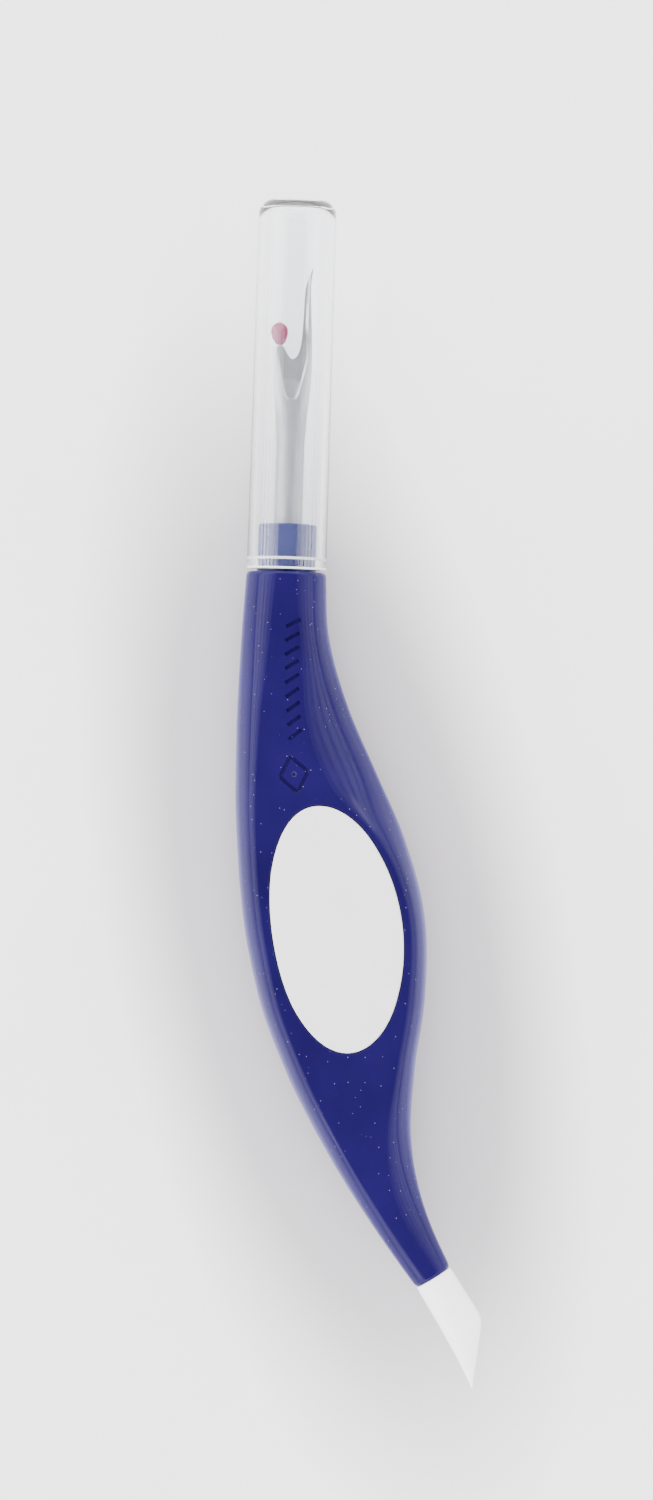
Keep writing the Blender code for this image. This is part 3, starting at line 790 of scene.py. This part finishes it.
def make_blade():
    """Drawn rod that is pressed flat into a fork, trimmed to its outline and ground hollow."""
    tang = TANG_RADIUS - TANG_CHAMFER
    rings = [
        blade_section(TANG_END, tang, tang, 2.0),
        blade_section(TANG_END + TANG_CHAMFER, TANG_RADIUS, TANG_RADIUS, 2.0),
    ]
    rings += [blade_section(*sizes) for sizes in catmull(BLADE_STATIONS, BLADE_STEPS)]
    blade = add_object("blade", loft(rings))
    blade.data.materials.append(drawn_steel("drawn_steel"))
    ground = ground_steel("ground_steel")
    polished = polished_steel("polished_steel")
    sheet = []
    for height in (-CLEAR_OF - TANG_RADIUS, CLEAR_OF + TANG_RADIUS):
        sheet.append([Vector((AXIS_X + across, y, MID_Z + height)) for across, y in fork_outline()])
    combine(blade, "INTERSECT", add_object("fork_outline", loft(sheet)))
    for face in (1.0, -1.0):
        combine(blade, "DIFFERENCE", scoop_tool(face, ground, polished))
    start = ball_place() - ball_axis() * BALL_PIN_ROOT
    end = ball_place() + ball_axis() * BALL_PIN_TIP
    combine(blade, "UNION", rod("ball_pin", start, end, BALL_PIN_RADIUS))
    return blade


def make_ball():
    """Egg-shaped ball, fuller towards its free end, with the hole that it is moulded on by."""
    bm = bmesh.new()
    bmesh.ops.create_uvsphere(bm, u_segments=BALL_SEGMENTS, v_segments=BALL_RINGS, radius=1.0)
    for vert in bm.verts:
        fuller = 1.0 + BALL_EGG * vert.co.z * (1.0 - vert.co.z * vert.co.z)
        vert.co = Vector((vert.co.x * fuller * BALL_RADIUS, vert.co.y * fuller * BALL_RADIUS,
                          vert.co.z * BALL_HALF_LENGTH))
    ball = add_object("ball", bm, axis_frame(ball_place(), ball_axis()))
    start = ball_place() - ball_axis() * (BALL_HALF_LENGTH + CLEAR_OF)
    end = ball_place() + ball_axis() * (BALL_PIN_TIP + BALL_PIN_GAP)
    combine(ball, "DIFFERENCE", rod("ball_hole", start, end, BALL_PIN_RADIUS + BALL_PIN_GAP))
    return ball


# ---- stiletto tip ----------------------------------------------------------------------------

def tip_ring(along, left, right, half_height, drop):
    centre = TAIL_POINT + TAIL_AXIS * along + TAIL_SIDE * ((left + right) / 2.0) - UP * drop
    section = superellipse((right - left) / 2.0, half_height, 2.0, TIP_SIDES)
    return [centre + TAIL_SIDE * across + UP * height for across, height in section]


def make_tip():
    spigot = [
        (SPIGOT_END, SPIGOT_RADIUS - SPIGOT_ROUND),
        (SPIGOT_END + SPIGOT_ROUND, SPIGOT_RADIUS),
        (SPIGOT_GROOVE[0], SPIGOT_RADIUS),
        (SPIGOT_GROOVE[0], SPIGOT_GROOVE_RADIUS),
        (SPIGOT_GROOVE[1], SPIGOT_GROOVE_RADIUS),
        (SPIGOT_GROOVE[1], SPIGOT_RADIUS),
        (TIP_STATIONS[0][0], SPIGOT_RADIUS),
    ]
    rings = [tip_ring(along, -radius, radius, radius, 0.0) for along, radius in spigot]
    rings += [tip_ring(*sizes) for sizes in catmull(TIP_STATIONS, TIP_STEPS)]
    return add_object("tip", loft(rings))


# ---- materials -------------------------------------------------------------------------------

class Finish:
    """A material under construction: a Principled shader and the nodes that feed it."""

    def __init__(self, name, roughness, metallic=0.0):
        self.material = bpy.data.materials.new(name)
        self.material.use_nodes = True
        self.tree = self.material.node_tree
        self.shader = self.tree.nodes["Principled BSDF"]
        self.shader.inputs["Roughness"].default_value = roughness
        self.shader.inputs["Metallic"].default_value = metallic
        self.place = self.tree.nodes.new("ShaderNodeTexCoord").outputs["Object"]

    def link(self, source, target):
        self.tree.links.new(source, target)

    def stretched(self, scale):
        """Object coordinates scaled by three numbers, for grain that runs one way."""
        mapping = self.tree.nodes.new("ShaderNodeMapping")
        mapping.inputs["Scale"].default_value = scale
        self.link(self.place, mapping.inputs["Vector"])
        return mapping.outputs["Vector"]

    def noise(self, scale, detail=3.0, roughness=0.55, vector=None):
        node = self.tree.nodes.new("ShaderNodeTexNoise")
        node.inputs["Scale"].default_value = scale
        node.inputs["Detail"].default_value = detail
        node.inputs["Roughness"].default_value = roughness
        self.link(vector or self.place, node.inputs["Vector"])
        return node.outputs["Fac"]

    def height_along(self):
        """Distance along the row's Y."""
        node = self.tree.nodes.new("ShaderNodeSeparateXYZ")
        self.link(self.place, node.inputs["Vector"])
        return node.outputs["Y"]

    def span(self, value, low, high, to_low, to_high):
        """Value remapped from low..high to to_low..to_high, clamped."""
        node = self.tree.nodes.new("ShaderNodeMapRange")
        for name, number in zip(RANGE_INPUTS, (low, high, to_low, to_high)):
            node.inputs[name].default_value = number
        self.link(value, node.inputs["Value"])
        return node.outputs["Result"]

    def blend(self, share, first, second):
        """Colour between two colours or colour sockets."""
        node = self.tree.nodes.new("ShaderNodeMix")
        node.data_type = "RGBA"
        for socket, value in ((node.inputs[6], first), (node.inputs[7], second)):
            if isinstance(value, tuple):
                socket.default_value = (*value, 1.0)
            else:
                self.link(value, socket)
        self.link(share, node.inputs["Factor"])
        return node.outputs[2]

    def specks(self, scale, size, share):
        """Mask of round specks: size is how far one fills its cell, and share how many cells have one."""
        cells = self.tree.nodes.new("ShaderNodeTexVoronoi")
        cells.inputs["Scale"].default_value = scale
        self.link(self.place, cells.inputs["Vector"])
        inside = self.span(cells.outputs["Distance"], size * 0.6, size, 1.0, 0.0)
        chosen = self.span(cells.outputs["Color"], share - 0.01, share, 1.0, 0.0)
        both = self.tree.nodes.new("ShaderNodeMath")
        both.operation = "MULTIPLY"
        self.link(inside, both.inputs[0])
        self.link(chosen, both.inputs[1])
        return both.outputs["Value"]

    def color(self, source):
        self.link(source, self.shader.inputs["Base Color"])

    def roughness(self, source):
        self.link(source, self.shader.inputs["Roughness"])

    def bump(self, height, distance, strength=1.0, below=None):
        node = self.tree.nodes.new("ShaderNodeBump")
        node.inputs["Distance"].default_value = distance * MM
        node.inputs["Strength"].default_value = strength
        self.link(height, node.inputs["Height"])
        if below is not None:
            self.link(below, node.inputs["Normal"])
        self.link(node.outputs["Normal"], self.shader.inputs["Normal"])
        return node.outputs["Normal"]


def glossy_blue(name, deep, light):
    """Glossy moulded plastic: slow colour drift, faint flow lines, orange peel and fine dust."""
    finish = Finish(name, 0.25)
    drift = finish.noise(90.0, 2.0)
    flow = finish.noise(1.0, 4.0, 0.6, finish.stretched((900.0, 60.0, 900.0)))
    base = finish.blend(finish.span(drift, 0.3, 0.7, 0.0, 1.0), deep, light)
    base = finish.blend(finish.span(flow, 0.55, 0.8, 0.0, 0.35), base, light)
    finish.color(finish.blend(finish.specks(1500.0, 0.085, 0.60), base, (0.21, 0.21, 0.36)))
    finish.roughness(finish.span(finish.noise(420.0, 4.0), 0.3, 0.7, 0.13, 0.20))
    peel = finish.bump(finish.noise(700.0, 2.0), 0.012, 0.35)
    finish.bump(finish.noise(7000.0, 2.0), 0.002, 0.30, peel)
    finish.shader.inputs["Specular IOR Level"].default_value = 0.15
    finish.shader.inputs["Specular Tint"].default_value = (0.80, 0.80, 1.0, 1.0)
    finish.shader.inputs["Sheen Weight"].default_value = 0.24
    finish.shader.inputs["Sheen Roughness"].default_value = 0.4
    finish.shader.inputs["Sheen Tint"].default_value = (0.08, 0.09, 1.0, 1.0)
    return finish.material


def matt_white(name):
    """Fine-grained matt inlay."""
    finish = Finish(name, 0.5)
    tone = finish.span(finish.noise(160.0, 3.0), 0.3, 0.7, 0.0, 1.0)
    grain = finish.noise(5200.0, 3.0)
    base = finish.blend(tone, (0.67, 0.67, 0.70), (0.71, 0.71, 0.73))
    finish.color(finish.blend(finish.span(grain, 0.62, 0.72, 0.0, 0.25), base, (0.62, 0.62, 0.64)))
    finish.roughness(finish.span(grain, 0.3, 0.7, 0.45, 0.60))
    finish.bump(grain, 0.012, 0.5)
    return finish.material


def satin_white(name):
    """Moulded white plastic with faint draw lines along the tip and a little depth."""
    finish = Finish(name, 0.36)
    lines = finish.noise(1.0, 3.0, 0.6, finish.stretched((2600.0, 300.0, 2600.0)))
    tone = finish.span(finish.noise(220.0, 3.0), 0.3, 0.7, 0.0, 1.0)
    finish.color(finish.blend(tone, (0.88, 0.89, 0.88), (0.92, 0.93, 0.92)))
    finish.roughness(finish.span(lines, 0.3, 0.7, 0.30, 0.44))
    finish.bump(lines, 0.006, 0.4)
    finish.shader.inputs["Subsurface Weight"].default_value = 0.25
    finish.shader.inputs["Subsurface Radius"].default_value = (0.9, 0.9, 0.8)
    finish.shader.inputs["Subsurface Scale"].default_value = MM
    return finish.material


def drawn_steel(name):
    """Dull plated rod with drawing lines and a fine tumbled grain, brighter where it is pressed flat."""
    finish = Finish(name, 0.45, 1.0)
    pressed = finish.span(finish.height_along(), PRESSED[0] * MM, PRESSED[1] * MM, 0.0, 1.0)
    lines = finish.noise(1.0, 4.0, 0.6, finish.stretched((5200.0, 260.0, 5200.0)))
    grain = finish.noise(4200.0, 3.0)
    tone = finish.span(lines, 0.3, 0.7, 0.0, 1.0)
    dull = finish.blend(tone, (0.30, 0.30, 0.32), (0.37, 0.37, 0.39))
    bright = finish.blend(tone, (0.37, 0.37, 0.39), (0.44, 0.44, 0.46))
    base = finish.blend(pressed, dull, bright)
    finish.color(finish.blend(finish.span(grain, 0.55, 0.75, 0.0, 0.4), base, (0.25, 0.25, 0.27)))
    finish.roughness(finish.span(pressed, 0.0, 1.0, 0.52, 0.36))
    finish.bump(lines, 0.004, 0.5, finish.bump(grain, 0.004, 0.5))
    return finish.material


def wheel_ground(name, dark, light, roughness, depth, strength):
    """Steel with the fine lines across the fork that a grinding wheel leaves."""
    finish = Finish(name, 0.3, 1.0)
    lines = finish.noise(1.0, 3.0, 0.6, finish.stretched((500.0, 9000.0, 900.0)))
    tone = finish.span(lines, 0.3, 0.7, 0.0, 1.0)
    finish.color(finish.blend(tone, dark, light))
    finish.roughness(finish.span(lines, 0.3, 0.7, *roughness))
    finish.bump(lines, depth, strength)
    return finish.material


def ground_steel(name):
    """Floor of the ground hollow."""
    return wheel_ground(name, (0.34, 0.34, 0.37), (0.42, 0.42, 0.44), (0.22, 0.32), 0.005, 0.6)


def polished_steel(name):
    """Bright wall of the hollow, where the wheel left it smooth."""
    return wheel_ground(name, (0.84, 0.84, 0.86), (0.92, 0.92, 0.93), (0.10, 0.16), 0.003, 0.4)


def bead_pink(name):
    """Glossy pink-red plastic with a little depth."""
    finish = Finish(name, 0.2)
    tone = finish.span(finish.noise(900.0, 2.0), 0.3, 0.7, 0.0, 1.0)
    finish.color(finish.blend(tone, (0.145, 0.001, 0.042), (0.200, 0.002, 0.060)))
    finish.roughness(finish.span(finish.noise(3000.0, 3.0), 0.3, 0.7, 0.14, 0.26))
    finish.bump(finish.noise(2500.0, 2.0), 0.004, 0.3)
    finish.shader.inputs["Subsurface Weight"].default_value = 0.15
    finish.shader.inputs["Subsurface Radius"].default_value = (1.0, 0.3, 0.4)
    finish.shader.inputs["Subsurface Scale"].default_value = 0.5 * MM
    finish.shader.inputs["Specular IOR Level"].default_value = 0.1
    finish.shader.inputs["Specular Tint"].default_value = (1.0, 0.40, 0.60, 1.0)
    return finish.material


def clear_plastic(name):
    """Clear styrene, slightly milky, with faint draw lines; lamps shine through it."""
    finish = Finish(name, 0.05)
    lines = finish.noise(1.0, 3.0, 0.6, finish.stretched((1500.0, 40.0, 1500.0)))
    haze = finish.span(finish.noise(160.0, 3.0), 0.3, 0.7, 0.0, 1.0)
    finish.color(finish.blend(haze, (0.93, 0.95, 0.97), (0.98, 0.99, 1.0)))
    finish.roughness(finish.span(lines, 0.3, 0.7, 0.03, 0.09))
    finish.bump(lines, 0.004, 0.25)
    finish.shader.inputs["Transmission Weight"].default_value = 0.990
    finish.shader.inputs["IOR"].default_value = 1.5
    tree = finish.tree
    path = tree.nodes.new("ShaderNodeLightPath")
    clear = tree.nodes.new("ShaderNodeBsdfTransparent")
    clear.inputs["Color"].default_value = (0.97, 0.98, 0.98, 1.0)
    mix = tree.nodes.new("ShaderNodeMixShader")
    output = tree.nodes["Material Output"]
    finish.link(path.outputs["Is Shadow Ray"], mix.inputs["Fac"])
    finish.link(finish.shader.outputs["BSDF"], mix.inputs[1])
    finish.link(clear.outputs["BSDF"], mix.inputs[2])
    finish.link(mix.outputs["Shader"], output.inputs["Surface"])
    return finish.material


def frosted_plastic(name):
    """Clear styrene where its edge is left dull by the mould."""
    finish = Finish(name, 0.45)
    haze = finish.span(finish.noise(1800.0, 3.0), 0.3, 0.7, 0.0, 1.0)
    finish.color(finish.blend(haze, (0.90, 0.92, 0.93), (0.97, 0.98, 0.98)))
    finish.roughness(finish.span(finish.noise(3000.0, 2.0), 0.3, 0.7, 0.35, 0.55))
    finish.shader.inputs["Transmission Weight"].default_value = 0.35
    return finish.material


def card_floor(name):
    """Pale matt board with a painted soft shadow: its colour turns greyer in an oval round the handle."""
    finish = Finish(name, 0.7)
    mapping = finish.tree.nodes.new("ShaderNodeMapping")
    mapping.vector_type = "TEXTURE"
    mapping.inputs["Rotation"].default_value = (0.0, 0.0, PAINTED_SHADOW_TURN)
    mapping.inputs["Scale"].default_value = (PAINTED_SHADOW_WIDE * MM, PAINTED_SHADOW_LONG * MM, 1.0)
    finish.link(finish.place, mapping.inputs["Vector"])
    reach = finish.tree.nodes.new("ShaderNodeVectorMath")
    reach.operation = "LENGTH"
    finish.link(mapping.outputs["Vector"], reach.inputs[0])
    out_of_painted_shadow = finish.span(reach.outputs["Value"], *PAINTED_SHADOW_FADE, 0.0, 1.0)
    tone = finish.span(finish.noise(30.0, 3.0), 0.3, 0.7, 0.0, 1.0)
    board = finish.blend(tone, (0.87, 0.85, 0.865), (0.90, 0.885, 0.895))
    # painted shadow: grey board colour close round the handle, fading out to the pale board
    finish.color(finish.blend(out_of_painted_shadow, (0.48, 0.455, 0.48), board))
    finish.bump(finish.noise(2500.0, 3.0), 0.01, 0.2)
    return finish.material


# ---- assembly --------------------------------------------------------------------------------

def stand_for(piece, node, body, material=None):
    """A fine piece takes the place of its CAD node, with that node's body."""
    if material is not None:
        piece.data.materials.append(material)
    shade(piece)
    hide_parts(node)
    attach(piece, body)


def soft_box(name, heading, zenith, width, radiance):
    """Long panel that faces the tool, its heading from +X and its zenith from straight up, in degrees."""
    heading, zenith, width = math.radians(heading), math.radians(zenith), math.radians(width)
    outwards = Vector((math.cos(heading), math.sin(heading), 0.0))
    light = bpy.data.lights.new(name, "AREA")
    light.shape = "RECTANGLE"
    light.size = BOX_LENGTH
    light.size_y = 2.0 * BOX_DISTANCE * math.tan(width / 2.0)
    light.energy = radiance * math.pi * light.size * light.size_y
    lamp = bpy.data.objects.new(name, light)
    lamp.location = (outwards * math.sin(zenith) + UP * math.cos(zenith)) * BOX_DISTANCE
    lamp.rotation_euler = (zenith, 0.0, heading + math.pi / 2.0)
    bpy.context.scene.collection.objects.link(lamp)
    return lamp


def make_lights():
    """Stacked panels at the sides, one at each end, and overhead fill that no gloss or glass shows."""
    for name, heading, strength in (("right", 0.0, RIGHT_SHARE), ("left", 180.0, 1.0)):
        for index, (zenith, width, radiance) in enumerate(SIDE_PANELS):
            soft_box(f"{name}_{index}", heading, zenith, width, radiance * strength)
    soft_box("top", 90.0, *END_PANEL)
    soft_box("bottom", -90.0, *END_PANEL)
    fill = soft_box("fill", 0.0, *FILL_PANEL)
    fill.visible_glossy = False
    fill.visible_transmission = False


def make_floor():
    bm = bmesh.new()
    bmesh.ops.create_grid(bm, x_segments=1, y_segments=1, size=FLOOR_HALF / MM)
    floor = add_object("floor", bm)
    floor.data.materials.append(card_floor("floor"))


def make_world():
    """Studio walls that grow darker from the horizon up."""
    world = bpy.data.worlds.new("studio")
    world.use_nodes = True
    tree = world.node_tree
    background = tree.nodes["Background"]
    background.inputs["Color"].default_value = (0.97, 0.97, 1.0, 1.0)
    place = tree.nodes.new("ShaderNodeTexCoord")
    split = tree.nodes.new("ShaderNodeSeparateXYZ")
    fade = tree.nodes.new("ShaderNodeMapRange")
    for name, number in zip(RANGE_INPUTS, WORLD_FADE):
        fade.inputs[name].default_value = number
    tree.links.new(place.outputs["Generated"], split.inputs["Vector"])
    tree.links.new(split.outputs["Z"], fade.inputs["Value"])
    tree.links.new(fade.outputs["Result"], background.inputs["Strength"])
    bpy.context.scene.world = world


def make_camera():
    """Camera straight above the tool, turned so that the blade's axis leans a little to the right."""
    lens = bpy.data.cameras.new("camera")
    lens.sensor_width = SENSOR
    lens.lens = SENSOR * (CAMERA_HEIGHT - VIEW_LEVEL) / VIEW_HEIGHT
    lens.clip_start = CLIP_START
    camera = bpy.data.objects.new("camera", lens)
    camera.location = (VIEW_CENTRE[0] * MM, VIEW_CENTRE[1] * MM, CAMERA_HEIGHT)
    camera.rotation_euler = (0.0, 0.0, VIEW_TURN)
    bpy.context.scene.collection.objects.link(camera)
    bpy.context.scene.camera = camera


STATIONS = make_stations()
MIDDLE = STATIONS[BELLY * SPINE_STEPS].along

make_camera()
make_world()
make_floor()
make_lights()

navy = glossy_blue("navy_plastic", (0.0055, 0.0021, 0.037), (0.0080, 0.0033, 0.051))
blue = glossy_blue("collar_plastic", (0.009, 0.012, 0.078), (0.012, 0.016, 0.100))
white = matt_white("pad_plastic")

front = make_shell("front", 1.0)
press_marks(front)
rear = make_shell("rear", -1.0)
stand_for(front, "front_shell", "handle", navy)
stand_for(rear, "rear_shell", "handle", navy)
stand_for(make_pad("front_pad", 1.0), "front_grip_pad", "handle", white)
stand_for(make_pad("rear_pad", -1.0), "rear_grip_pad", "handle", white)
stand_for(make_holder(), "blade_holder", "handle", blue)
stand_for(make_blade(), "ripper_blade", "handle")
stand_for(make_ball(), "safety_ball", "handle", bead_pink("ball_plastic"))
stand_for(make_tip(), "stiletto_tip", "handle", satin_white("tip_plastic"))
stand_for(make_cap(), "protective_cap", "cap")
